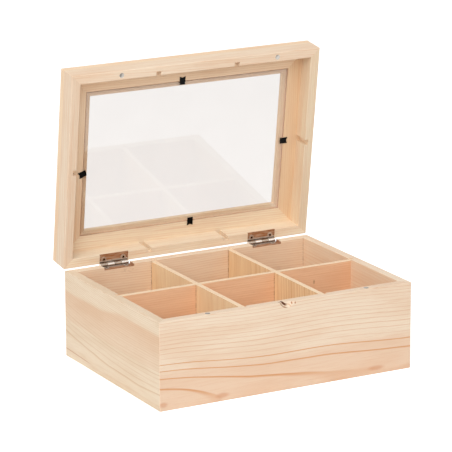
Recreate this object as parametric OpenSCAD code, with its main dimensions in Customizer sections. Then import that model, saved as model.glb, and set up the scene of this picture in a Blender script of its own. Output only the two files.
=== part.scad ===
// Wooden box with six compartments and a hinged lid with a glass window.
// Sizes are in millimetres. +X is right, +Y is back, +Z is up.
// The origin is the centre of the underside. The lid is drawn standing open.

/* [Lower box] */
// Width over the outer faces
box_w = 221; // [210:1:240]
// Depth over the outer faces
box_d = 161; // [150:1:180]
// Height up to the rim
base_h = 69.8; // [50:0.1:90]
// Thickness of the walls
wall_t = 7.6; // [7.4:0.1:9]
// Radius of the eased outer edges
edge_r = 0.5; // [0.4:0.1:1.2]
// Radius of the eased inner edges of the rims
inner_edge_r = 0.4; // [0.2:0.1:0.8]
// Thickness of the bottom panel
bottom_t = 4; // [3:0.5:6]
// Width of the rebate that holds the bottom panel
bottom_rebate = 4; // [3:0.5:5]

/* [Dividers] */
// Thickness of the dividers
divider_t = 4.2; // [3:0.1:5]
// How far the dividers' tops lie below the rim
divider_drop = 1; // [0.5:0.1:3]
// Depth of the grooves that hold the dividers' ends
groove_depth = 3.2; // [2:0.1:3.6]

/* [Finger scoop] */
// Radius of the scoop's outline on the front face
scoop_r = 6.8; // [5:0.1:9]
// Height of the outline's centre above the rim
scoop_rise = 2.4; // [1:0.1:4]
// Depth of the scoop at the outline's centre
scoop_depth = 2.6; // [1.5:0.1:3.5]
// How far right of the middle the scoop is
scoop_x = -0.5; // [-5:0.1:5]

/* [Lid] */
// Height of the rails between the rim and the window frame
rail_h = 14; // [10:0.5:20]
// Thickness of the window frame
frame_t = 6; // [5:0.5:8]
// Width of the window frame's members
frame_w = 24; // [18:0.5:30]
// Width of the lip under the glass
glass_lip = 4; // [3:0.5:6]
// Thickness of the glass
glass_t = 2; // [2:0.5:3]
// Play between the glass and the lip
glass_play = 0.05; // [0.05:0.05:0.2]
// Angle the lid stands open at
open_angle = 82.4; // [0:0.1:170]
// Gap between the two rims when the lid is shut
rim_gap = 0.2; // [0.1:0.1:0.5]

/* [Glass tabs] */
// Length of a tab over the glass
tab_inner = 2.9; // [2:0.1:3.8]
// Length of a tab over the frame
tab_outer = 3.7; // [3:0.1:6]
// Width of a tab at its inner end
tab_inner_w = 4.6; // [3:0.1:6]
// Width of a tab at its notched outer end
tab_outer_w = 5; // [4:0.1:7]
// Depth of the notch in a tab's outer end
tab_notch = 1; // [0.5:0.1:2]
// Thickness of a tab
tab_t = 0.5; // [0.4:0.1:0.8]
// Where the front tab is, right of the middle
front_tab_x = -6; // [-60:1:60]
// Where the rear tab is, right of the middle
rear_tab_x = 8.4; // [-60:0.2:60]
// Where the left tab is, behind the middle
left_tab_y = 7.6; // [-40:0.2:40]
// How far the left tab is turned from square
left_tab_tilt = 20; // [-30:1:30]
// Where the right tab is, behind the middle
right_tab_y = 1.4; // [-40:0.2:40]

/* [Hinges] */
// How far the left hinge's middle is in from the left face
left_hinge_in = 44.1; // [30:0.1:55]
// How far the right hinge's middle is in from the right face
right_hinge_in = 42.5; // [30:0.1:55]
// Gap between a leaf and each end of its pocket
pocket_play = 0.2; // [0.1:0.05:0.5]
// How much further right each pocket in the lower box runs
pocket_run = 1; // [0.5:0.1:2]
// Radius at the front right corner of each pocket in the lower box
pocket_corner_r = 3; // [2:0.1:3]
// How far the hinges' axis is behind the rear face
axis_back = 1; // [0.9:0.05:2]
// How far the hinges' axis is below the rim
axis_drop = 0.4; // [0.2:0.05:0.8]
// Radius of a knuckle
knuckle_r = 1.75; // [1.6:0.05:1.8]
// Length of a leaf and of the barrel, all four knuckles
barrel_l = 24.8; // [24:0.1:28]
// Reach of a leaf's middle from the axis
leaf_waist = 3.3; // [3.2:0.1:4]
// Radius of a leaf's ear round its screw
ear_r = 2.1; // [1.8:0.1:2.4]
// Thickness of a leaf
leaf_t = 0.8; // [0.6:0.1:0.9]
// Radius of a pin
pin_r = 0.85; // [0.6:0.05:0.85]

/* [Screws] */
// Distance between the two screws of a leaf
screw_pitch = 17.2; // [16:0.1:17.6]
// How far the screws are in from the rear face
screw_in = 3.2; // [2.8:0.1:4]
// Radius of a screw's head
screw_head_r = 1.5; // [1.3:0.05:1.6]
// Radius of a screw's shank
screw_shank_r = 0.8; // [0.7:0.05:0.9]
// Length of a screw
screw_l = 6; // [5:0.5:7]

/* [Magnets] */
// Radius of a magnet
magnet_r = 2; // [1.8:0.1:2.6]
// Height of a magnet
magnet_h = 3; // [2:0.5:5]
// How far the left magnets are in from the left face
left_magnet_in = 43; // [30:0.1:55]
// How far the right magnets are in from the right face
right_magnet_in = 38.8; // [30:0.1:55]
// How far the magnets are in from the front face
magnet_in = 4; // [3.8:0.1:4.5]

/* [Clearances] */
// Gap round a magnet, a screw and a pin that is held fast
held_gap = 0.02; // [0.01:0.01:0.05]
// Gap round a pin in the knuckle that turns on it
turning_gap = 0.05; // [0.02:0.01:0.1]
// Gap on each side of a divider in its groove or slot
divider_gap = 0.1; // [0.05:0.05:0.2]
// Gap between a divider's end and the end of its groove
divider_end_gap = 0.3; // [0.1:0.1:0.5]
// Gap round the bottom panel in its rebate
bottom_gap = 0.2; // [0.1:0.1:0.5]
// Gap round the glass in its rebate
glass_gap = 0.3; // [0.2:0.1:0.8]
// Gap between two knuckles, and between a knuckle and the other leaf
knuckle_gap = 0.2; // [0.1:0.05:0.3]

/* [Hidden] */
$fn = 48;

// Inside of the box
inner_w = box_w - 2 * wall_t;
inner_d = box_d - 2 * wall_t;
groove_w = divider_t + 2 * divider_gap;
divider_top = base_h - divider_drop;
lap_z = (bottom_t + divider_top) / 2;
cross_x = (inner_w + divider_t) / 6;

// Lid, as it is when shut
lid_z = base_h + rim_gap;
panel_z = lid_z + rail_h;
window_edge = frame_w - glass_lip;

// Magnets of a rim, right of the middle
left_magnet_x = left_magnet_in - box_w / 2;
right_magnet_x = box_w / 2 - right_magnet_in;

// Hinges
left_hinge_x = left_hinge_in - box_w / 2;
right_hinge_x = box_w / 2 - right_hinge_in;
pocket_w = barrel_l + 2 * pocket_play;
axis_y = box_d / 2 + axis_back;
axis_z = base_h - axis_drop;
leaf_low = knuckle_r - 0.05;
leaf_edge = knuckle_r + knuckle_gap;
base_pocket_depth = leaf_low + axis_drop;
lid_pocket_depth = leaf_low - axis_drop - rim_gap;
leaf_corner_r = 0.5;
knuckle_l = (barrel_l - 3 * knuckle_gap) / 4;
knuckle_step = knuckle_l + knuckle_gap;
screw_y = box_d / 2 - screw_in;
screw_reach = screw_in + axis_back;
hinge_places = [left_hinge_x, right_hinge_x];
screw_cone_h = screw_head_r - screw_shank_r;
screw_tip_h = 1.2;
prong_w = 3;
prong_t = 0.4;
prong_l = 3;
prong_out = 1;
cut = 1;

// What lies outside a quarter round of radius r in the corner at the origin
module round_off(r) {
    difference() {
        translate([-cut, -cut]) square(r + cut);
        translate([r, r]) circle(r = r);
    }
}

// Footprint of a mitred board with its outer face on y = 0 and its outer corners eased
module mitred_footprint(length, wide) {
    difference() {
        polygon([
            [-length / 2, 0],
            [length / 2, 0],
            [length / 2 - wide, wide],
            [-length / 2 + wide, wide]
        ]);
        translate([-length / 2, 0]) round_off(edge_r);
        translate([length / 2, 0]) mirror([1, 0]) round_off(edge_r);
    }
}

// Mitred board whose section is drawn as (in from the outer face, up)
module mitred_board(length, wide, high) {
    intersection() {
        linear_extrude(high) mitred_footprint(length, wide);
        rotate([90, 0, 90]) linear_extrude(length, center = true) children();
    }
}

// Places a board drawn with its outer face on y = 0 on one side of the box
module on_front() {
    translate([0, -box_d / 2, 0]) children();
}

module on_rear() {
    translate([0, box_d / 2, 0]) rotate([0, 0, 180]) children();
}

module on_left() {
    translate([-box_w / 2, 0, 0]) rotate([0, 0, -90]) children();
}

module on_right() {
    translate([box_w / 2, 0, 0]) rotate([0, 0, 90]) children();
}

// Turns what is drawn on the shut lid back to where the open lid stands
module on_open_lid() {
    translate([0, axis_y, axis_z])
        rotate([-open_angle, 0, 0])
            translate([0, -axis_y, -axis_z])
                children();
}

// Lower box

// Wall of the lower box: eased outer edges and rim, and a rebate for the bottom panel
module base_wall(length) {
    mitred_board(length, wall_t, base_h)
        difference() {
            square([wall_t, base_h]);
            round_off(edge_r);
            translate([0, base_h]) mirror([0, 1]) round_off(edge_r);
            translate([wall_t, base_h]) rotate(180) round_off(inner_edge_r);
            translate([wall_t - bottom_rebate, -cut])
                square([bottom_rebate + cut, bottom_t + cut]);
        }
}

// Grooves for both ends of the cross dividers, from z = low upwards
module cross_grooves(low, high) {
    span = inner_d + 2 * groove_depth;
    for (x = [-cross_x, cross_x])
        translate([x - groove_w / 2, -span / 2, low]) cube([groove_w, span, high]);
}

// Grooves for both ends of the long divider, from z = low upwards
module long_grooves(low, high) {
    span = inner_w + 2 * groove_depth;
    translate([-span / 2, -groove_w / 2, low]) cube([span, groove_w, high]);
}

// Shallow ball-shaped scoop for a finger in the top edge of the front face
module finger_scoop() {
    ball_r = (scoop_r * scoop_r + scoop_depth * scoop_depth) / (2 * scoop_depth);
    translate([scoop_x, -box_d / 2 - ball_r + scoop_depth, base_h + scoop_rise])
        sphere(r = ball_r, $fn = 96);
}

// Two magnets in a front rim, grown by gap, from z = low upwards
module magnet_pair(low, gap, high) {
    for (x = [left_magnet_x, right_magnet_x])
        translate([x, -box_d / 2 + magnet_in, low]) cylinder(r = magnet_r + gap, h = high);
}

module base_front_wall() {
    color("BurlyWood")
    difference() {
        on_front() base_wall(box_w);
        cross_grooves(-cut, base_h + 2 * cut);
        finger_scoop();
        magnet_pair(base_h - magnet_h, held_gap, magnet_h + cut);
    }
}

module base_rear_wall() {
    color("BurlyWood")
    difference() {
        on_rear() base_wall(box_w);
        cross_grooves(-cut, base_h + 2 * cut);
        for (x = hinge_places) {
            translate([x, 0, base_h - base_pocket_depth])
                linear_extrude(base_pocket_depth + cut) base_pocket_plan();
            translate([x, 0, base_h - base_pocket_depth]) pilot_holes();
        }
    }
}

module base_left_wall() {
    color("Wheat")
    difference() {
        on_left() base_wall(box_d);
        long_grooves(-cut, base_h + 2 * cut);
    }
}

module base_right_wall() {
    color("Wheat")
    difference() {
        on_right() base_wall(box_d);
        long_grooves(-cut, base_h + 2 * cut);
    }
}

module base_bottom_panel() {
    color("Tan")
    translate([0, 0, bottom_t / 2])
        cube([
            inner_w + 2 * bottom_rebate - 2 * bottom_gap,
            inner_d + 2 * bottom_rebate - 2 * bottom_gap,
            bottom_t
        ], center = true);
}

// The long divider is slotted from below, and the cross dividers from above
module long_divider() {
    span = inner_w + 2 * (groove_depth - divider_end_gap);
    color("Peru")
    difference() {
        translate([-span / 2, -divider_t / 2, bottom_t])
            cube([span, divider_t, divider_top - bottom_t]);
        for (x = [-cross_x, cross_x])
            translate([x - groove_w / 2, -divider_t, bottom_t - cut])
                cube([groove_w, 2 * divider_t, lap_z - bottom_t + cut]);
    }
}

module cross_divider(x) {
    span = inner_d + 2 * (groove_depth - divider_end_gap);
    color("SandyBrown")
    difference() {
        translate([x - divider_t / 2, -span / 2, bottom_t])
            cube([divider_t, span, divider_top - bottom_t]);
        translate([x - divider_t, -groove_w / 2, lap_z])
            cube([2 * divider_t, groove_w, divider_top - lap_z + cut]);
    }
}

module left_cross_divider() {
    cross_divider(-cross_x);
}

module right_cross_divider() {
    cross_divider(cross_x);
}

module magnet(x, low) {
    color("Silver")
    translate([x, -box_d / 2 + magnet_in, low]) cylinder(r = magnet_r, h = magnet_h);
}

module base_left_magnet() {
    magnet(left_magnet_x, base_h - magnet_h);
}

module base_right_magnet() {
    magnet(right_magnet_x, base_h - magnet_h);
}

// Lid

// Rail of the lid, with its rim at the bottom while the lid is shut
module lid_rail(length) {
    translate([0, 0, lid_z])
        mitred_board(length, wall_t, rail_h)
            difference() {
                square([wall_t, rail_h]);
                round_off(edge_r);
                translate([wall_t, 0]) mirror([1, 0]) round_off(inner_edge_r);
            }
}

module lid_front_rail() {
    color("BurlyWood")
    on_open_lid()
        difference() {
            on_front() lid_rail(box_w);
            cross_grooves(lid_z - cut, rail_h + 2 * cut);
            magnet_pair(lid_z - cut, held_gap, magnet_h + cut);
        }
}

module lid_rear_rail() {
    color("BurlyWood")
    on_open_lid()
        difference() {
            on_rear() lid_rail(box_w);
            cross_grooves(lid_z - cut, rail_h + 2 * cut);
            for (x = hinge_places) {
                translate([x - pocket_w / 2, box_d / 2 - wall_t - cut, lid_z - cut])
                    cube([pocket_w, wall_t + 2 * cut, lid_pocket_depth + cut]);
                translate([x, 0, lid_z + lid_pocket_depth]) mirror([0, 0, 1]) pilot_holes();
            }
        }
}

module lid_left_rail() {
    color("Wheat")
    on_open_lid()
        difference() {
            on_left() lid_rail(box_d);
            long_grooves(lid_z - cut, rail_h + 2 * cut);
        }
}

module lid_right_rail() {
    color("Wheat")
    on_open_lid()
        difference() {
            on_right() lid_rail(box_d);
            long_grooves(lid_z - cut, rail_h + 2 * cut);
        }
}

// Member of the window frame: eased outside edge, and a rebate for the glass on the inside
module frame_member(length) {
    translate([0, 0, panel_z])
        mitred_board(length, frame_w, frame_t)
            difference() {
                square([frame_w, frame_t]);
                translate([0, frame_t]) mirror([0, 1]) round_off(edge_r);
                translate([frame_w, frame_t]) rotate(180) round_off(inner_edge_r);
                translate([window_edge, -cut])
                    square([glass_lip + cut, glass_t + glass_play + cut]);
            }
}

module lid_frame_front() {
    color("BurlyWood")
    on_open_lid()
        difference() {
            on_front() frame_member(box_w);
            at_front_tab() prong(held_gap);
        }
}

module lid_frame_rear() {
    color("BurlyWood")
    on_open_lid()
        difference() {
            on_rear() frame_member(box_w);
            at_rear_tab() prong(held_gap);
        }
}

module lid_frame_left() {
    color("Wheat")
    on_open_lid()
        difference() {
            on_left() frame_member(box_d);
            at_left_tab() prong(held_gap);
        }
}

module lid_frame_right() {
    color("Wheat")
    on_open_lid()
        difference() {
            on_right() frame_member(box_d);
            at_right_tab() prong(held_gap);
        }
}

module glass_pane() {
    color("LightCyan", 0.4)
    on_open_lid()
        translate([0, 0, panel_z + glass_t / 2])
            cube([
                box_w - 2 * window_edge - 2 * glass_gap,
                box_d - 2 * window_edge - 2 * glass_gap,
                glass_t
            ], center = true);
}

// Glass tab, drawn with the window's edge on y = 0 and the frame's side at +y
module glass_tab() {
    translate([0, 0, -tab_t])
        linear_extrude(tab_t)
            polygon([
                [-tab_inner_w / 2, -tab_inner],
                [tab_inner_w / 2, -tab_inner],
                [tab_outer_w / 2, tab_outer],
                [0, tab_outer - tab_notch],
                [-tab_outer_w / 2, tab_outer]
            ]);
    prong(0);
}

// Flat prong that holds a tab in its slit in the frame, grown by gap
module prong(gap) {
    translate([-prong_w / 2 - gap, prong_out - gap, -tab_t / 2])
        cube([prong_w + 2 * gap, prong_t + 2 * gap, tab_t / 2 + prong_l + gap]);
}

module at_front_tab() {
    translate([front_tab_x, -box_d / 2 + window_edge, panel_z]) rotate(180) children();
}

module at_rear_tab() {
    translate([rear_tab_x, box_d / 2 - window_edge, panel_z]) children();
}

module at_left_tab() {
    translate([-box_w / 2 + window_edge, left_tab_y, panel_z])
        rotate(90 - left_tab_tilt) children();
}

module at_right_tab() {
    translate([box_w / 2 - window_edge, right_tab_y, panel_z]) rotate(-90) children();
}

module front_glass_tab() {
    color("DimGray") on_open_lid() at_front_tab() glass_tab();
}

module rear_glass_tab() {
    color("DimGray") on_open_lid() at_rear_tab() glass_tab();
}

module left_glass_tab() {
    color("DimGray") on_open_lid() at_left_tab() glass_tab();
}

module right_glass_tab() {
    color("DimGray") on_open_lid() at_right_tab() glass_tab();
}

module lid_left_magnet() {
    on_open_lid() magnet(left_magnet_x, lid_z);
}

module lid_right_magnet() {
    on_open_lid() magnet(right_magnet_x, lid_z);
}

// Hinges

// Plan of a pocket in the lower box, open to both faces and round at its front right corner,
// which lies a little inside the compartment
module base_pocket_plan() {
    corner_in = 0.6;
    difference() {
        translate([-pocket_w / 2, box_d / 2 - wall_t - cut])
            square([pocket_w + pocket_run, wall_t + 2 * cut]);
        translate([pocket_w / 2 + pocket_run, box_d / 2 - wall_t - corner_in])
            rotate(90) round_off(pocket_corner_r);
    }
}

// Holes for the two screws of a leaf, down from z = 0
module pilot_holes() {
    for (x = [-screw_pitch / 2, screw_pitch / 2])
        translate([x, screw_y, -screw_l])
            cylinder(r = screw_shank_r + held_gap, h = screw_l + cut);
}

// Plan of a leaf with the axis on y = 0, an ear for each screw, and a tie to each knuckle
module leaf_plan(knuckles) {
    tie_end = 0.2;
    translate([0, -(leaf_waist + leaf_edge) / 2])
        eased_rectangle(barrel_l, leaf_waist - leaf_edge, leaf_corner_r);
    for (x = [-screw_pitch / 2, screw_pitch / 2]) {
        translate([x, -screw_reach]) circle(r = ear_r);
        translate([x - ear_r, -screw_reach])
            square([2 * ear_r, screw_reach - leaf_waist + leaf_corner_r]);
    }
    for (x = knuckles)
        translate([x - knuckle_l / 2, -leaf_edge - leaf_corner_r])
            square([knuckle_l, leaf_edge + leaf_corner_r - tie_end]);
}

// Rectangle about the origin with its corners rounded to radius r
module eased_rectangle(wide, deep, r) {
    square([wide - 2 * r, deep], center = true);
    square([wide, deep - 2 * r], center = true);
    for (x = [r - wide / 2, wide / 2 - r])
        for (y = [r - deep / 2, deep / 2 - r])
            translate([x, y]) circle(r = r);
}

// Leaf drawn about the axis, lying below it, with knuckles centred at the given places
module leaf(knuckles, bore_gap) {
    difference() {
        union() {
            translate([0, 0, -leaf_low]) linear_extrude(leaf_t) leaf_plan(knuckles);
            for (x = knuckles)
                translate([x - knuckle_l / 2, 0, 0])
                    rotate([0, 90, 0]) cylinder(r = knuckle_r, h = knuckle_l);
        }
        translate([-barrel_l, 0, 0])
            rotate([0, 90, 0]) cylinder(r = pin_r + bore_gap, h = 2 * barrel_l);
        for (x = [-screw_pitch / 2, screw_pitch / 2])
            translate([x, -screw_reach, leaf_t - leaf_low]) screw_body(held_gap);
    }
}

// Screw without its cross, grown by gap, with the top of its head on z = 0
module screw_body(gap) {
    translate([0, 0, -screw_cone_h])
        cylinder(r1 = screw_shank_r + gap, r2 = screw_head_r + gap, h = screw_cone_h);
    translate([0, 0, -screw_l + screw_tip_h])
        cylinder(r = screw_shank_r + gap, h = screw_l - screw_tip_h - screw_cone_h);
    translate([0, 0, -screw_l])
        cylinder(r1 = 0.2, r2 = screw_shank_r + gap, h = screw_tip_h);
}

// Countersunk cross-head screw with the top of its head on z = 0
module screw() {
    cross_l = 1.8;
    cross_w = 0.4;
    cross_depth = 0.5;
    color("LightGray")
    difference() {
        screw_body(0);
        translate([-cross_l / 2, -cross_w / 2, -cross_depth])
            cube([cross_l, cross_w, cross_depth + cut]);
        translate([-cross_w / 2, -cross_l / 2, -cross_depth])
            cube([cross_w, cross_l, cross_depth + cut]);
    }
}

// Places what is drawn about the axis at one hinge
module at_hinge(x) {
    translate([x, axis_y, axis_z]) children();
}

// The four knuckles belong to the lower box and the lid in turn, from the left
module hinge_base_leaf(x) {
    color("Silver")
    at_hinge(x) leaf([-1.5 * knuckle_step, 0.5 * knuckle_step], turning_gap);
}

module hinge_lid_leaf(x) {
    color("Silver")
    on_open_lid()
        at_hinge(x)
            mirror([0, 0, 1]) leaf([-0.5 * knuckle_step, 1.5 * knuckle_step], held_gap);
}

module hinge_pin(x) {
    color("Gray")
    on_open_lid()
        at_hinge(x)
            translate([-barrel_l / 2, 0, 0]) rotate([0, 90, 0]) cylinder(r = pin_r, h = barrel_l);
}

module hinge_base_screws(x) {
    at_hinge(x)
        for (side = [-1, 1])
            translate([side * screw_pitch / 2, -screw_reach, leaf_t - leaf_low]) screw();
}

module hinge_lid_screws(x) {
    on_open_lid()
        at_hinge(x)
            mirror([0, 0, 1])
                for (side = [-1, 1])
                    translate([side * screw_pitch / 2, -screw_reach, leaf_t - leaf_low])
                        screw();
}

module left_hinge_base_leaf() {
    hinge_base_leaf(left_hinge_x);
}

module left_hinge_lid_leaf() {
    hinge_lid_leaf(left_hinge_x);
}

module left_hinge_pin() {
    hinge_pin(left_hinge_x);
}

module left_hinge_base_screws() {
    hinge_base_screws(left_hinge_x);
}

module left_hinge_lid_screws() {
    hinge_lid_screws(left_hinge_x);
}

module right_hinge_base_leaf() {
    hinge_base_leaf(right_hinge_x);
}

module right_hinge_lid_leaf() {
    hinge_lid_leaf(right_hinge_x);
}

module right_hinge_pin() {
    hinge_pin(right_hinge_x);
}

module right_hinge_base_screws() {
    hinge_base_screws(right_hinge_x);
}

module right_hinge_lid_screws() {
    hinge_lid_screws(right_hinge_x);
}

base_front_wall();
base_rear_wall();
base_left_wall();
base_right_wall();
base_bottom_panel();
long_divider();
left_cross_divider();
right_cross_divider();
base_left_magnet();
base_right_magnet();
lid_front_rail();
lid_rear_rail();
lid_left_rail();
lid_right_rail();
lid_frame_front();
lid_frame_rear();
lid_frame_left();
lid_frame_right();
glass_pane();
front_glass_tab();
rear_glass_tab();
left_glass_tab();
right_glass_tab();
lid_left_magnet();
lid_right_magnet();
left_hinge_base_leaf();
left_hinge_lid_leaf();
left_hinge_pin();
left_hinge_base_screws();
left_hinge_lid_screws();
right_hinge_base_leaf();
right_hinge_lid_leaf();
right_hinge_pin();
right_hinge_base_screws();
right_hinge_lid_screws();
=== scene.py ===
"""Looks of the tea bag organizer box: pine boards, plywood, glass, nickelled hinges, light and camera.

Lengths are metres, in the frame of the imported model: X to the right, Y to the back, Z up. The lid rests
open. Wood is drawn for the box when it is shut, so each lid board's material first turns it shut.
"""

import math
from dataclasses import dataclass

import bpy
from mathutils import Matrix, Vector

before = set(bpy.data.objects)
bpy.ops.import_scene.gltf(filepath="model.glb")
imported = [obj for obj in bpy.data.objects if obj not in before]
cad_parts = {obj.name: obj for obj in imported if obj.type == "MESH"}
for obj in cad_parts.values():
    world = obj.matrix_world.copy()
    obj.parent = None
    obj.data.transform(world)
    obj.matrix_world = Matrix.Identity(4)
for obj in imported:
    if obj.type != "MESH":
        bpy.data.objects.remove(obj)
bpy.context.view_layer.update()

MM = 0.001

# Outside of the box, and its walls
HALF_WIDTH = 110.5 * MM
HALF_DEPTH = 80.5 * MM
RIM_HEIGHT = 69.8 * MM
WALL = 7.6 * MM

# Inner faces of the walls
INNER_WIDTH = HALF_WIDTH - WALL
INNER_DEPTH = HALF_DEPTH - WALL

# The dividers' tops, and the grooves for the ends of the two cross dividers
DIVIDER_TOP = RIM_HEIGHT - 1.0 * MM
CROSS_X = 35.0 * MM
HALF_GROOVE = 2.2 * MM
CROSS_LEFT = (-CROSS_X - HALF_GROOVE, CROSS_X - HALF_GROOVE)
GROOVE_DEPTH = 3.2 * MM

# The hinge line, and how far the lid stands open
HINGE_Z = RIM_HEIGHT - 0.4 * MM
HINGE_LINE = Vector((0, HALF_DEPTH + 1.0 * MM, HINGE_Z))
LID_OPEN = math.radians(82.4)

# The glass pane's edges
PANE_IN = 20.3 * MM
PANE_HALF_WIDTH = HALF_WIDTH - PANE_IN
PANE_HALF_DEPTH = HALF_DEPTH - PANE_IN

# Finger scoop near the middle of the front wall: the centre of its outline
SCOOP_X = -0.5 * MM
SCOOP_Z = RIM_HEIGHT + 2.4 * MM

# Hinges, and their pockets in the rear wall and in the lid's rear rail
HINGE_X = (-66.4 * MM, 68 * MM)
KNUCKLE_R = 1.75 * MM
LEAF_UNDER = 1.7 * MM
LEAF_THICKNESS = 0.8 * MM
POCKET_HALF = 12.7 * MM
POCKET_RUN = 1.0 * MM
BASE_POCKET_Z = HINGE_Z - LEAF_UNDER
LID_RIM_Z = RIM_HEIGHT + 0.2 * MM
LID_POCKET_Z = HINGE_Z + LEAF_UNDER

# Tops of the screws' heads, and their places: out from a hinge's middle, and behind the box's middle
BASE_SCREW_Z = BASE_POCKET_Z + LEAF_THICKNESS
LID_SCREW_Z = LID_POCKET_Z - LEAF_THICKNESS
SCREW_OUT = 8.6 * MM
SCREW_Y = HALF_DEPTH - 3.2 * MM

# The slow swing of the grain along some boards, in radians for each metre and at the middle
WAVE_TURNS = 43.5
WAVE_START = -0.3

# Tones of the wood
PALE_PINE = (243, 222, 197)
LATE_PINE = (216, 160, 112)
# warm tan of painted bounce light on the compartments' faces
BOUNCE_WARM_PINE = (240, 198, 156)
# dark brown of the hinge pockets, and of a painted shadow in the lid's grooves
POCKET_AND_SHADOW_BROWN = (154, 90, 40)
# dark brown of the knot, and of painted shadow lines in the inner corners
KNOT_AND_SHADOW_BROWN = (104, 62, 36)
RESIN = (150, 105, 70)
PINK_PINE = (226, 172, 134)
REDDISH_PINE = (205, 136, 92)
PINK_BAND = (218, 166, 126)
DARK_STREAK = (190, 132, 90)
TORN_PINE = (160, 108, 66)
# brown of the painted shade ticks right of the scoop
TICK_SHADE_PINE = (176, 112, 66)
SAWN_PINE = (246, 220, 188)
SAW_MARK = (205, 156, 110)

# Tones of the metal and the glass
TARNISH = (120, 104, 90)
# painted shadow in the hinges' creases
CREASE_SHADE = (44, 32, 24)
SCREW_PLATE = (214, 202, 188)
DULL_SCREW = (164, 150, 134)
# painted shade in the screws' cross recesses
SCREW_RECESS_SHADE = (24, 18, 14)
BLACK_STEEL = (5, 5, 5)
WORN_STEEL = (20, 19, 18)
CLEAN_GLASS = (239, 235, 232)
SMEARED_GLASS = (237, 233, 230)
# brown of the pane's edges, painted shade of the gap round the pane
EDGE_GAP_SHADE_TINT = (220, 178, 150)


def srgb(colour):
    """A colour of three numbers up to 255, as the four linear ones that a socket takes."""
    linear = []
    for part in colour:
        part = part / 255
        linear.append(part / 12.92 if part <= 0.04045 else ((part + 0.055) / 1.055) ** 2.4)
    return (*linear, 1)


class Graph:
    """The nodes of one material, with a short call for each kind used here."""

    def __init__(self, name):
        self.material = bpy.data.materials.new(name)
        self.material.use_nodes = True
        self.tree = self.material.node_tree
        self.tree.nodes.clear()

    def add(self, kind, inputs=None, **settings):
        """A new node. inputs gives its sockets, by name or number, a value or another node's output."""
        made = self.tree.nodes.new(kind)
        for setting, value in settings.items():
            setattr(made, setting, value)
        for socket, value in (inputs or {}).items():
            if isinstance(value, bpy.types.NodeSocket):
                self.tree.links.new(value, made.inputs[socket])
            else:
                made.inputs[socket].default_value = value
        return made

    def math(self, operation, *values):
        return self.add("ShaderNodeMath", dict(enumerate(values)), operation=operation).outputs[0]

    def vector(self, operation, *values):
        return self.add("ShaderNodeVectorMath", dict(enumerate(values)), operation=operation).outputs[0]

    def place(self):
        return self.add("ShaderNodeTexCoord").outputs["Object"]

    def split(self, vector):
        return self.add("ShaderNodeSeparateXYZ", {0: vector}).outputs[:]

    def join(self, x, y, z):
        return self.add("ShaderNodeCombineXYZ", {0: x, 1: y, 2: z}).outputs[0]

    def noise(self, vector, detail=2.0, roughness=0.5):
        """Smooth noise about 0.5, with features about 1 across in the vector given."""
        inputs = {"Vector": vector, "Scale": 1.0, "Detail": detail, "Roughness": roughness}
        return self.add("ShaderNodeTexNoise", inputs).outputs[0]

    def step(self, value, low, high, start=0.0, end=1.0):
        """start below low, end above high and a smooth change between them."""
        inputs = {"Value": value, "From Min": low, "From Max": high, "To Min": start, "To Max": end}
        return self.add("ShaderNodeMapRange", inputs, interpolation_type="SMOOTHSTEP").outputs[0]

    def between(self, value, low, high, soft):
        """1 where value is between low and high, 0 outside, with edges soft wide."""
        rise = self.step(value, low - soft, low)
        return self.math("MULTIPLY", rise, self.step(value, high, high + soft, 1.0, 0.0))

    def length(self, first, second):
        squares = self.math("MULTIPLY_ADD", first, first, self.math("MULTIPLY", second, second))
        return self.math("SQRT", squares)

    def spot(self, point, centre, size):
        """1 in the middle of an oval of the given half sizes, falling to 0 at its edge."""
        sideways, upwards = [
            self.math("DIVIDE", self.math("SUBTRACT", value, middle), half)
            for value, middle, half in zip(point, centre, size)
        ]
        return self.step(self.length(sideways, upwards), 0.3, 1.0, 1.0, 0.0)

    def mix(self, amount, first, second, blend="MIX"):
        inputs = {0: amount, 6: first, 7: second}
        return self.add("ShaderNodeMix", inputs, data_type="RGBA", blend_type=blend).outputs[2]

    def bump(self, height, strength, distance):
        inputs = {"Height": height, "Strength": strength, "Distance": distance}
        return self.add("ShaderNodeBump", inputs).outputs[0]

    def principled(self, inputs):
        return self.add("ShaderNodeBsdfPrincipled", inputs).outputs[0]

    def surface(self, shader):
        self.add("ShaderNodeOutputMaterial", {"Surface": shader})
        return self.material


@dataclass
class Board:
    """How one board was cut from its tree, and its tones."""

    grain: str  # the axis along its grain, in the shut box
    heart: tuple  # where the tree's heart passes the board's middle, on the other two axes
    lean: tuple = (0.0, 0.0)  # how far the heart moves on those axes for each metre along the grain
    bow: tuple = (0.0, 0.0)  # how far it moves besides for each square metre
    wave: float = 0.0  # how far it swings on the second of those axes
    ring: float = 1.6 * MM  # width of a year's growth
    first: float = 0.0  # radius at which a ring ends
    pale: tuple = PALE_PINE
    late: tuple = LATE_PINE
    lines: float = 0.6  # how strongly the dense late wood shows
    thick: float = 0.35  # share of a year's growth that is late wood
    bold: tuple = ()  # years with the darkest late wood
    squeeze: float = 0.0  # how much narrower the years get away from the heart
    streaky: float = 0.28  # how strongly long soft streaks show
    wander: float = 0.5 * MM  # how far the rings stray from round
    seed: float = 0.0


def shut_place(graph, in_lid):
    """Where a point of the surface is when the box is shut."""
    place = graph.place()
    if not in_lid:
        return place
    turn = Matrix.Rotation(LID_OPEN, 3, "X")
    shift = HINGE_LINE - turn @ HINGE_LINE
    inputs = {"Vector": place, "Location": shift, "Rotation": (LID_OPEN, 0, 0)}
    return graph.add("ShaderNodeMapping", inputs, vector_type="POINT").outputs[0]


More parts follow.
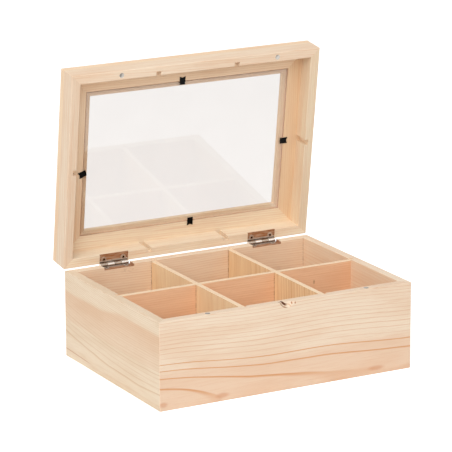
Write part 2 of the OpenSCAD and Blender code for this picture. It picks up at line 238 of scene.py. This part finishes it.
def wood(name, board, in_lid, marks=None):
    """Bare planed wood. marks(graph, place, colour) may draw more on the colour."""
    graph = Graph(name)
    place = shut_place(graph, in_lid)
    x, y, z = graph.split(place)
    along, side, deep = {"x": (x, y, z), "y": (y, x, z), "z": (z, x, y)}[board.grain]
    grained = graph.join(along, side, deep)

    def stretched(length, width, seed):
        """Noise whose features are about length along the grain and width across it."""
        scaled = graph.vector("MULTIPLY", grained, (1 / length, 1 / width, 1 / width))
        return graph.vector("ADD", scaled, (seed, 2 * seed, 3 * seed))

    def from_heart(value, axis):
        """How far a point is from the tree's heart on one of the two axes across the grain."""
        slope = graph.math("MULTIPLY_ADD", along, board.bow[axis], board.lean[axis])
        return graph.math("SUBTRACT", value, graph.math("MULTIPLY_ADD", along, slope, board.heart[axis]))

    # year rings round the heart, straying from round a little, and paler where a face runs along them
    swing = graph.math("SINE", graph.math("MULTIPLY_ADD", along, WAVE_TURNS, WAVE_START))
    across = from_heart(side, 0)
    down = graph.math("SUBTRACT", from_heart(deep, 1), graph.math("MULTIPLY", swing, board.wave))
    radius = graph.length(across, down)
    stray = graph.noise(stretched(60 * MM, 16 * MM, board.seed + 3.1), detail=2.0)
    stray = graph.math("MULTIPLY", graph.math("SUBTRACT", stray, 0.5), 2 * board.wander)
    grown = graph.math("ADD", graph.math("SUBTRACT", radius, board.first), stray)
    rings = graph.math("DIVIDE", grown, board.ring)
    rings = graph.math("MULTIPLY", rings, graph.math("MULTIPLY_ADD", rings, board.squeeze, 1.0))
    year = graph.math("FLOOR", rings)
    season = graph.math("FRACT", rings)
    rise = graph.step(season, 0.95 - board.thick, 0.93)
    growth = graph.math("MULTIPLY", rise, graph.step(season, 0.95, 1.0, 1.0, 0.0))
    chance = graph.add("ShaderNodeTexWhiteNoise", {"W": graph.math("ADD", year, board.seed)},
                       noise_dimensions="1D").outputs["Value"]
    dark = graph.math("MULTIPLY_ADD", chance, 0.4, 0.25)
    for bold_year in board.bold:
        dark = graph.math("MAXIMUM", dark, graph.math("COMPARE", year, bold_year, 0.5))
    nearer = graph.math("MINIMUM", graph.math("ABSOLUTE", across), graph.math("ABSOLUTE", down))
    flat_cut = graph.step(graph.math("DIVIDE", nearer, radius), 0.0, 0.16, 0.3, 1.0)
    late_wood = graph.math("MULTIPLY", graph.math("MULTIPLY", growth, dark), flat_cut)

    # fibres, short dark resin ducts and broad changes of tone
    fibre = graph.noise(stretched(14 * MM, 0.35 * MM, board.seed + 5.3), detail=3.0, roughness=0.6)
    streaks = graph.noise(stretched(55 * MM, 1.3 * MM, board.seed + 7.9), detail=2.0, roughness=0.6)
    ducts = graph.step(graph.noise(stretched(5 * MM, 0.3 * MM, board.seed + 9.7), detail=1.0), 0.7, 0.8)
    tone = graph.noise(stretched(70 * MM, 14 * MM, board.seed + 1.9), detail=2.0)

    colour = graph.mix(graph.math("MULTIPLY", late_wood, board.lines), srgb(board.pale), srgb(board.late))
    warm = graph.math("MULTIPLY", graph.step(tone, 0.4, 0.7), 0.18)
    colour = graph.mix(warm, colour, srgb(board.late))
    soft = graph.math("MULTIPLY", graph.step(streaks, 0.45, 0.75), board.streaky)
    colour = graph.mix(soft, colour, srgb(board.late))
    colour = graph.mix(graph.math("MULTIPLY", graph.step(fibre, 0.45, 0.75), 0.24), colour, srgb(board.late))
    colour = graph.mix(graph.math("MULTIPLY", ducts, 0.25), colour, srgb(RESIN))
    if marks:
        colour = marks(graph, (x, y, z), colour)

    height = graph.math("ADD", graph.math("MULTIPLY", fibre, 0.6), graph.math("MULTIPLY", late_wood, 0.5))
    return graph.surface(graph.principled({
        "Base Color": colour,
        "Roughness": graph.step(fibre, 0.3, 0.8, 0.72, 0.5),
        "Normal": graph.bump(height, 0.25, 0.08 * MM),
        "Specular IOR Level": 0.25,
    }))


def painted_inner_bounce(graph, place, colour):
    """Painted warm bounce light: the faces towards the compartments are a warmer tan."""
    x, y, _ = place
    over_x = graph.math("SUBTRACT", graph.math("ABSOLUTE", x), INNER_WIDTH)
    over_y = graph.math("SUBTRACT", graph.math("ABSOLUTE", y), INNER_DEPTH)
    inside = graph.step(graph.math("MAXIMUM", over_x, over_y), 0.02 * MM, 0.1 * MM, 0.35, 0.0)
    return graph.mix(inside, colour, srgb(BOUNCE_WARM_PINE))


# Reddish patches low on the front face: middle and half size
PATCHES = (
    ((-107.5 * MM, 5 * MM), (5 * MM, 3 * MM)),
    ((-57 * MM, 4.5 * MM), (8 * MM, 3 * MM)),
    ((79 * MM, 5 * MM), (10 * MM, 2.6 * MM)),
)

# Darker rings round the scoop's left side, partly cut grain and partly painted shade: inner and outer
# radius, strength and tone; and two painted shade ticks right of it
SCOOP_GRAIN_AND_SHADE_RINGS = (
    (6.3 * MM, 6.9 * MM, 0.7, (150, 104, 70)),
    (3.8 * MM, 5.2 * MM, 1.0, (96, 50, 24)),
)
SHADE_TICKS_X = (3.6 * MM, 6.2 * MM)


def front_marks(graph, place, colour):
    """Pinker wood low on the front face, reddish patches, and darker cut grain with painted shade round the
    scoop.
    """
    x, y, z = place
    colour = painted_inner_bounce(graph, place, colour)
    drift = graph.noise(graph.join(graph.math("MULTIPLY", x, 12), 0.0, graph.math("MULTIPLY", z, 50)))
    edge = graph.math("MULTIPLY_ADD", drift, 24 * MM, 18 * MM)
    low = graph.step(graph.math("SUBTRACT", z, edge), -8 * MM, 8 * MM, 0.32, 0.0)
    colour = graph.mix(low, colour, srgb(PINK_PINE))
    for centre, size in PATCHES:
        patch = graph.math("MULTIPLY", graph.spot((x, z), centre, size), 0.45)
        colour = graph.mix(patch, colour, srgb(REDDISH_PINE))

    # rings round the left side of the scoop: darker cut grain, partly painted shade
    from_middle = graph.length(graph.math("SUBTRACT", x, SCOOP_X), graph.math("SUBTRACT", z, SCOOP_Z))
    front = graph.step(y, 4 * MM - HALF_DEPTH, 4.5 * MM - HALF_DEPTH, 1.0, 0.0)
    left = graph.step(x, SCOOP_X - 2 * MM, SCOOP_X + 1 * MM, 1.0, 0.0)
    side = graph.math("MULTIPLY", front, left)
    for inside, outside, strength, tone in SCOOP_GRAIN_AND_SHADE_RINGS:
        ring = graph.math("MULTIPLY", graph.between(from_middle, inside, outside, 0.3 * MM), side)
        colour = graph.mix(graph.math("MULTIPLY", ring, strength), colour, srgb(tone))
    # two short painted shade ticks right of the scoop
    for right in SHADE_TICKS_X:
        tick_shade = graph.spot((x, z), (right, RIM_HEIGHT - 1.3 * MM), (0.7 * MM, 1.4 * MM))
        colour = graph.mix(graph.math("MULTIPLY", tick_shade, front), colour, srgb(TICK_SHADE_PINE))
    return colour


def left_marks(graph, place, colour):
    """A pinkish band half way up the left face, and one dark streak near its foot."""
    _, y, z = place
    colour = painted_inner_bounce(graph, place, colour)
    top = graph.step(y, -20 * MM, 22 * MM, 61 * MM, 56 * MM)
    below = graph.math("SUBTRACT", top, z)
    strength = graph.step(below, 4 * MM, 30 * MM, 0.4, 0.18)
    band = graph.math("MULTIPLY", graph.between(z, 32 * MM, 80 * MM, 3 * MM), graph.step(below, 0.0, 4 * MM))
    band = graph.math("MULTIPLY", band, strength)
    colour = graph.mix(band, colour, srgb(PINK_BAND))
    height = graph.math("MULTIPLY_ADD", y, 0.035, 3.8 * MM)
    streak = graph.between(graph.math("SUBTRACT", z, height), -0.15 * MM, 0.15 * MM, 0.35 * MM)
    streak = graph.math("MULTIPLY", streak, graph.step(y, 30 * MM, 48 * MM, 0.0, 0.7))
    return graph.mix(streak, colour, srgb(DARK_STREAK))


def pocket_mark(graph, place, colour, low, high, run):
    """Darker brown on the hinge pockets' cut faces, between two heights."""
    x, y, z = place
    level = graph.between(z, low, high, 0.05 * MM)
    grain = graph.noise(graph.join(graph.math("MULTIPLY", x, 160), graph.math("MULTIPLY", y, 700), 0.0))
    level = graph.math("MULTIPLY", level, graph.step(grain, 0.2, 0.8, 1.0, 0.65))
    for hinge in HINGE_X:
        beside = graph.math("SUBTRACT", x, hinge)
        reach = graph.between(beside, -POCKET_HALF, POCKET_HALF + run, 0.05 * MM)
        colour = graph.mix(graph.math("MULTIPLY", level, reach), colour, srgb(POCKET_AND_SHADOW_BROWN))
    return colour


def on_inner_face(graph, y, amount):
    """amount in front of the rear wall's inner face and on it, and 0 behind it."""
    return graph.step(y, INNER_DEPTH + 0.1 * MM, INNER_DEPTH + 0.3 * MM, amount, 0.0)


def corner_shadow_lines(graph, place, colour, ends):
    """Painted dark broken shadow lines on a board's inner face, just left of each end given."""
    x, y, z = place
    inner = on_inner_face(graph, y, 1.0)
    dashes = graph.noise(graph.join(0.0, 0.0, graph.math("MULTIPLY", z, 260)))
    dashes = graph.math("MULTIPLY", graph.step(dashes, 0.4, 0.7, 0.25, 0.9), inner)
    for end in ends:
        line = graph.between(graph.math("SUBTRACT", x, end), -0.35 * MM, 0.0, 0.15 * MM)
        colour = graph.mix(graph.math("MULTIPLY", line, dashes), colour, srgb(KNOT_AND_SHADOW_BROWN))
    return colour


def rear_marks(graph, place, colour):
    """Darker brown pockets, painted shadow lines beside the dividers and in the right corner, and grain torn
    out under the left hinge.
    """
    x, y, z = place
    colour = painted_inner_bounce(graph, place, colour)
    low = BASE_POCKET_Z - 0.1 * MM
    colour = pocket_mark(graph, place, colour, low, RIM_HEIGHT - 0.1 * MM, POCKET_RUN)
    colour = corner_shadow_lines(graph, place, colour, (*CROSS_LEFT, INNER_WIDTH))
    torn = graph.noise(graph.join(graph.math("MULTIPLY", x, 350), 0.0, graph.math("MULTIPLY", z, 900)))
    under_hinge = graph.spot((x, z), (-58 * MM, 65 * MM), (9 * MM, 3 * MM))
    torn = graph.math("MULTIPLY", graph.step(torn, 0.5, 0.62), under_hinge)
    inner = on_inner_face(graph, y, 0.35)
    return graph.mix(graph.math("MULTIPLY", torn, inner), colour, srgb(TORN_PINE))


def lid_rear_marks(graph, place, colour):
    """Darker brown pockets, and a painted shadow down the left side of each groove."""
    x, y, z = place
    in_groove = graph.between(y, INNER_DEPTH, INNER_DEPTH + GROOVE_DEPTH, 0.1 * MM)
    above_rim = graph.step(z, LID_RIM_Z + 0.6 * MM, LID_RIM_Z + 1.6 * MM)
    strength = graph.math("MULTIPLY", graph.math("MULTIPLY", in_groove, above_rim), 0.6)
    # painted shadow down the left side of each groove
    for left in CROSS_LEFT:
        groove_shadow = graph.between(graph.math("SUBTRACT", x, left), 0.0, 0.7 * MM, 0.2 * MM)
        colour = graph.mix(graph.math("MULTIPLY", groove_shadow, strength), colour, srgb(POCKET_AND_SHADOW_BROWN))
    return pocket_mark(graph, place, colour, LID_RIM_Z + 0.1 * MM, LID_POCKET_Z + 0.1 * MM, 0.0)


def divider_top(graph, place, colour):
    """Paler sawn top edge with fine slanting saw marks."""
    x, y, z = place
    top = graph.step(z, DIVIDER_TOP - 0.12 * MM, DIVIDER_TOP - 0.04 * MM)
    slanted = graph.math("SINE", graph.math("MULTIPLY", graph.math("ADD", x, y), 4500))
    chance = graph.noise(graph.join(graph.math("MULTIPLY", x, 300), graph.math("MULTIPLY", y, 300), 0.0))
    saw = graph.math("MULTIPLY", graph.step(slanted, 0.3, 0.9), graph.step(chance, 0.5, 0.65))
    edge = graph.mix(graph.math("MULTIPLY", saw, 0.5), srgb(SAWN_PINE), srgb(SAW_MARK))
    return graph.mix(top, colour, edge)


def long_divider_marks(graph, place, colour):
    """A small knot near the right end, painted shadow lines beside the cross dividers, and the paler top
    edge.
    """
    x, _, z = place
    knot = graph.spot((x, z), (69 * MM, 55.9 * MM), (1.1 * MM, 2.4 * MM))
    colour = graph.mix(graph.math("MULTIPLY", knot, 0.45), colour, srgb(KNOT_AND_SHADOW_BROWN))
    colour = corner_shadow_lines(graph, place, colour, CROSS_LEFT)
    return divider_top(graph, place, colour)


# Each board is cut from its own place in the tree.
BOARDS = {
    "base_front_wall": Board(
        "x", (-2 * MM, 3.1 * MM), (0.0171, 0.0034), (-0.105, -0.191), 1.1 * MM, 2.08 * MM, 77.22 * MM,
        pale=(240, 220, 196), late=(210, 146, 90), lines=0.95, thick=0.16, bold=(-1, 0, 1, 2),
        squeeze=0.013, streaky=0.1, wander=0.2 * MM, seed=1),
    "base_rear_wall": Board(
        "x", (40 * MM, 20 * MM), (0.01, -0.01), wave=0.8 * MM, ring=1.5 * MM,
        pale=(245, 227, 203), late=(200, 142, 98), lines=0.8, streaky=0.15, seed=2),
    "base_left_wall": Board(
        "y", (-50 * MM, 2 * MM), (0.0, 0.056), (0.0, 0.728), ring=1.1 * MM,
        pale=(238, 219, 194), late=(202, 158, 108), lines=0.8, thick=0.3, streaky=0.12, seed=3),
    "base_right_wall": Board(
        "y", (60 * MM, 30 * MM), (0.02, 0.01), ring=1.5 * MM, pale=(243, 226, 203), seed=4),
    "long_divider": Board(
        "x", (40 * MM, 20 * MM), (0.02, 0.01), ring=1.2 * MM,
        pale=(246, 202, 164), late=(218, 156, 112), seed=5),
    "left_cross_divider": Board(
        "z", (0.0, 60 * MM), (0.02, 0.01), ring=1.6 * MM,
        pale=(249, 221, 180), late=(214, 160, 104), lines=0.4, seed=6),
    "right_cross_divider": Board(
        "z", (80 * MM, 50 * MM), (0.02, 0.01), ring=3.6 * MM,
        pale=(248, 216, 172), late=(204, 144, 84), lines=0.85, thick=0.5, wander=2.4 * MM, seed=7),
    "lid_front_rail": Board(
        "x", (-20 * MM, 130 * MM), (0.03, 0.02), ring=1.4 * MM, seed=8),
    "lid_rear_rail": Board(
        "x", (20 * MM, 130 * MM), (0.03, 0.02), ring=1.4 * MM, pale=(243, 227, 201), seed=9),
    "lid_left_rail": Board(
        "y", (-70 * MM, 60 * MM), (0.03, 0.02), ring=1.4 * MM, pale=(235, 215, 191), seed=10),
    "lid_right_rail": Board(
        "y", (50 * MM, 30 * MM), (0.03, 0.02), ring=1.4 * MM, pale=(236, 217, 188), seed=11),
    "lid_frame_front": Board("x", (-150 * MM, 130 * MM), (0.03, 0.02), pale=(249, 222, 190), seed=12),
    "lid_frame_rear": Board("x", (150 * MM, 130 * MM), (0.03, 0.02), pale=(245, 226, 197), seed=13),
    "lid_frame_left": Board("y", (-170 * MM, 130 * MM), (0.03, 0.02), pale=(242, 217, 186), seed=14),
    "lid_frame_right": Board("y", (170 * MM, 130 * MM), (0.03, 0.02), pale=(240, 211, 175), seed=15),
    "base_bottom_panel": Board(
        "x", (0.0, 300 * MM), (0.05, 0.1), ring=2.5 * MM,
        pale=(236, 214, 180), late=(214, 176, 130), lines=0.4, seed=16),
}

MARKS = {
    "base_front_wall": front_marks,
    "base_left_wall": left_marks,
    "base_rear_wall": rear_marks,
    "lid_rear_rail": lid_rear_marks,
    "long_divider": long_divider_marks,
    "left_cross_divider": divider_top,
    "right_cross_divider": divider_top,
    "base_right_wall": painted_inner_bounce,
}


def blotches(graph, finely, detail=3.0):
    """Noise with the given number of features for each metre."""
    return graph.noise(graph.vector("MULTIPLY", graph.place(), (finely, finely, finely)), detail)


def brushed(graph):
    """Fine scratches along the hinge line, as a bump."""
    scratches = graph.noise(graph.vector("MULTIPLY", graph.place(), (400, 4000, 4000)))
    return graph.bump(scratches, 0.15, 0.02 * MM)


def plated(name, colour, roughness):
    """Nickel plate with fine brushing and a little tarnish."""
    graph = Graph(name)
    tarnish = blotches(graph, 300)
    dull = tuple(part * 0.72 for part in colour)
    shade = graph.mix(graph.step(tarnish, 0.45, 0.7), srgb(colour), srgb(dull))
    return graph.surface(graph.principled({
        "Base Color": shade,
        "Metallic": 1.0,
        "Roughness": graph.step(tarnish, 0.3, 0.7, roughness, roughness + 0.15),
        "Normal": brushed(graph),
    }))


def leaf_metal(name, in_lid, knuckle_highlight, plate):
    """Nickel plate with a painted highlight on the knuckles, a painted reflection of the wood on the duller
    flat of the leaf, and a painted shadow in the crease between them.
    """
    graph = Graph(name)
    _, y, z = graph.split(shut_place(graph, in_lid))
    behind = graph.math("SUBTRACT", y, HINGE_LINE.y)
    off_line = graph.length(behind, graph.math("SUBTRACT", z, HINGE_LINE.z))
    flat = graph.step(off_line, KNUCKLE_R + 0.1 * MM, KNUCKLE_R + 0.3 * MM)
    tarnish = blotches(graph, 300)
    # the knuckles' colour is a painted highlight, the flat's colour a painted reflection of the wood
    shade = graph.mix(flat, srgb(knuckle_highlight), srgb(plate))
    shade = graph.mix(graph.step(tarnish, 0.45, 0.75, 0.0, 0.35), shade, srgb(TARNISH))
    # painted shadow in the crease beside the knuckles
    crease = graph.between(off_line, KNUCKLE_R + 0.2 * MM, KNUCKLE_R + 0.7 * MM, 0.2 * MM)
    shade = graph.mix(graph.math("MULTIPLY", crease, 0.9), shade, srgb(CREASE_SHADE))
    return graph.surface(graph.principled({
        "Base Color": shade,
        "Metallic": graph.step(flat, 0.0, 1.0, 1.0, 0.35),
        "Roughness": graph.step(flat, 0.0, 1.0, 0.2, 0.42),
        "Normal": brushed(graph),
    }))


def screw_metal(name, in_lid):
    """Nickel plate with painted shade in the cross and the middle of each screw's head."""
    graph = Graph(name)
    x, y, z = graph.split(shut_place(graph, in_lid))
    depth = graph.math("SUBTRACT", z, LID_SCREW_Z) if in_lid else graph.math("SUBTRACT", BASE_SCREW_Z, z)
    # painted shade in the cross recess; the loop below adds it at the middle of each head
    recess_shade = graph.step(depth, 0.03 * MM, 0.15 * MM)
    tarnish = blotches(graph, 900, 2.0)
    plate = graph.mix(graph.step(tarnish, 0.4, 0.7), srgb(SCREW_PLATE), srgb(DULL_SCREW))
    from_row = graph.math("SUBTRACT", y, SCREW_Y)
    for hinge in HINGE_X:
        out = graph.math("ABSOLUTE", graph.math("SUBTRACT", x, hinge))
        from_centre = graph.length(graph.math("SUBTRACT", out, SCREW_OUT), from_row)
        recess_shade = graph.math("MAXIMUM", recess_shade, graph.step(from_centre, 0.6 * MM, 1.0 * MM, 1.0, 0.0))
    return graph.surface(graph.principled({
        "Base Color": graph.mix(recess_shade, plate, srgb(SCREW_RECESS_SHADE)),
        "Metallic": 1.0,
        "Roughness": graph.step(tarnish, 0.3, 0.7, 0.25, 0.4),
        "Normal": graph.bump(tarnish, 0.1, 0.02 * MM),
    }))


def blackened(name):
    """Satin black steel with faint wear."""
    graph = Graph(name)
    wear = blotches(graph, 500)
    return graph.surface(graph.principled({
        "Base Color": graph.mix(graph.step(wear, 0.5, 0.75), srgb(BLACK_STEEL), srgb(WORN_STEEL)),
        "Roughness": graph.step(wear, 0.3, 0.7, 0.32, 0.5),
        "Normal": graph.bump(wear, 0.2, 0.03 * MM),
        "Specular IOR Level": 0.08,
    }))


def window_glass(name):
    """Clear glass that lets the lamps' light through, with matte ground edges tinted brown as painted shade
    of the gap round the pane.
    """
    graph = Graph(name)
    x, y, _ = graph.split(shut_place(graph, True))
    over_x = graph.math("SUBTRACT", graph.math("ABSOLUTE", x), PANE_HALF_WIDTH)
    over_y = graph.math("SUBTRACT", graph.math("ABSOLUTE", y), PANE_HALF_DEPTH)
    edge = graph.step(graph.math("MAXIMUM", over_x, over_y), -0.04 * MM, -0.02 * MM)
    smear = blotches(graph, 25)
    glass = graph.principled({
        "Base Color": graph.mix(graph.step(smear, 0.3, 0.7), srgb(CLEAN_GLASS), srgb(SMEARED_GLASS)),
        "Roughness": graph.step(smear, 0.45, 0.8, 0.0, 0.02),
        "IOR": 1.5,
        "Transmission Weight": 1.0,
    })
    clear = graph.add("ShaderNodeBsdfTransparent", {"Color": (0.96, 0.96, 0.95, 1)}).outputs[0]
    shadow = graph.add("ShaderNodeLightPath").outputs["Is Shadow Ray"]
    pane = graph.add("ShaderNodeMixShader", {0: shadow, 1: glass, 2: clear}).outputs[0]
    # matte ground edges, their brown a painted shade of the gap between pane and rebate
    ground = graph.add("ShaderNodeBsdfDiffuse", {"Color": srgb(EDGE_GAP_SHADE_TINT)}).outputs[0]
    return graph.surface(graph.add("ShaderNodeMixShader", {0: edge, 1: pane, 2: ground}).outputs[0])


def dress(node, material):
    """Gives a node of the model one material all over."""
    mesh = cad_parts[node].data
    mesh.materials.clear()
    mesh.materials.append(material)


for node, board in BOARDS.items():
    dress(node, wood("pine_" + node, board, node.startswith("lid_"), MARKS.get(node)))

bright_nickel = plated("bright_nickel", (222, 208, 194), 0.2)
# the same nickel: the base leaves in darker tones as painted shade, the lid leaves in lighter ones as
# painted light
base_leaf = leaf_metal("base_leaf_painted_shade_nickel", False, (190, 172, 156), (176, 160, 146))
lid_leaf = leaf_metal("lid_leaf_painted_light_nickel", True, (238, 228, 218), (200, 182, 164))
magnet = plated("magnet_plating", (186, 181, 174), 0.5)
base_screw = screw_metal("base_screw", False)
lid_screw = screw_metal("lid_screw", True)
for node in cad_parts:
    if "screws" in node:
        dress(node, lid_screw if "lid" in node else base_screw)
    elif "base_leaf" in node:
        dress(node, base_leaf)
    elif "lid_leaf" in node:
        dress(node, lid_leaf)
    elif "hinge" in node:
        dress(node, bright_nickel)
    elif "magnet" in node:
        dress(node, magnet)
    elif "tab" in node:
        dress(node, blackened("black_" + node))
dress("glass_pane", window_glass("window_glass"))


# Stage: floor, world, lights and camera

# The side of the floor, and how far it lies below the underside to stay clear of it
FLOOR_SIZE = 12.0
FLOOR_DROP = 0.02 * MM

# The floor's own light: straight to the camera, in mirrors, and what is taken off behind glass
SEEN_GLOW = 0.6
MIRRORED_GLOW = 0.9
GLASS_GLOW = -0.52

# Strength of the light from all round
AMBIENT = 0.58

# Place, size and power of each lamp, and the point above the middle of the underside that they face
LAMPS = {
    "key": ((-1.61, -1.61, 1.95), 2.8, 61),
    "fill": ((1.8, -1.6, 1.3), 1.2, 3),
}
LAMP_TARGET = Vector((0, 0, 0.1))


def floor_material():
    """White paper: lit like any surface, with enough light of its own to be white in the picture.

    The light of its own is for the camera, mirrors and glass only, and falls on nothing. Rays that
    pass through glass count as glossy ones too, so their share is taken back off.
    """
    graph = Graph("white_paper")
    shade = graph.mix(blotches(graph, 8, 2.0), (0.80, 0.80, 0.80, 1), (0.82, 0.82, 0.82, 1))
    paper = graph.add("ShaderNodeBsdfDiffuse", {"Color": shade})
    rays = graph.add("ShaderNodeLightPath").outputs
    straight = graph.math("MULTIPLY", rays["Is Camera Ray"], SEEN_GLOW)
    mirrored = graph.math("MULTIPLY_ADD", rays["Is Glossy Ray"], MIRRORED_GLOW, straight)
    own_light = graph.math("MULTIPLY_ADD", rays["Is Transmission Ray"], GLASS_GLOW, mirrored)
    glow = graph.add("ShaderNodeEmission", {"Strength": own_light})
    both = graph.add("ShaderNodeAddShader", {0: paper.outputs[0], 1: glow.outputs[0]})
    return graph.surface(both.outputs[0])


def make_floor():
    mesh = bpy.data.meshes.new("floor")
    half = FLOOR_SIZE / 2
    corners = [(x, y, -FLOOR_DROP) for x, y in ((-half, -half), (half, -half), (half, half), (-half, half))]
    mesh.from_pydata(corners, [], [(0, 1, 2, 3)])
    mesh.materials.append(floor_material())
    floor = bpy.data.objects.new("floor", mesh)
    bpy.context.collection.objects.link(floor)


def make_world():
    """A white background in the picture, in glass and in metal, and a softer light from all round."""
    world = bpy.data.worlds.new("studio")
    world.use_nodes = True
    nodes = world.node_tree.nodes
    links = world.node_tree.links
    background = nodes["Background"]
    rays = nodes.new("ShaderNodeLightPath").outputs
    seen = rays["Is Camera Ray"]
    for kind in ("Is Glossy Ray", "Is Transmission Ray"):
        either = nodes.new("ShaderNodeMath")
        either.operation = "MAXIMUM"
        links.new(seen, either.inputs[0])
        links.new(rays[kind], either.inputs[1])
        seen = either.outputs[0]
    strength = nodes.new("ShaderNodeMapRange")
    strength.inputs["To Min"].default_value = AMBIENT
    links.new(seen, strength.inputs["Value"])
    links.new(strength.outputs[0], background.inputs["Strength"])
    background.inputs["Color"].default_value = (1, 1, 1, 1)
    bpy.context.scene.world = world


def make_lamp(name, place, size, power):
    """A square soft box that faces the box."""
    lamp = bpy.data.lights.new(name, "AREA")
    lamp.size = size
    lamp.energy = power
    made = bpy.data.objects.new(name, lamp)
    made.location = place
    made.rotation_mode = "QUATERNION"
    made.rotation_quaternion = (LAMP_TARGET - Vector(place)).to_track_quat("-Z", "Y")
    bpy.context.collection.objects.link(made)


def make_camera():
    """The camera that took the photograph, fitted to the box's corners."""
    right = Vector((0.87606, -0.4822, -0.00285))
    up = Vector((0.12824, 0.22729, 0.96535))
    back = Vector((-0.46484, -0.84606, 0.26096))
    camera = bpy.data.cameras.new("camera")
    camera.sensor_width = 36
    camera.lens = 235.39
    camera.clip_end = 100
    made = bpy.data.objects.new("camera", camera)
    axes = Matrix((right, up, back)).transposed().to_4x4()
    place = right * -8.561 * MM + up * 106.792 * MM + back * 2330.479 * MM
    made.matrix_world = Matrix.Translation(place) @ axes
    bpy.context.collection.objects.link(made)
    bpy.context.scene.camera = made


make_floor()
make_world()
for name, (place, size, power) in LAMPS.items():
    make_lamp(name, place, size, power)
make_camera()
bpy.context.scene.view_settings.view_transform = "Standard"
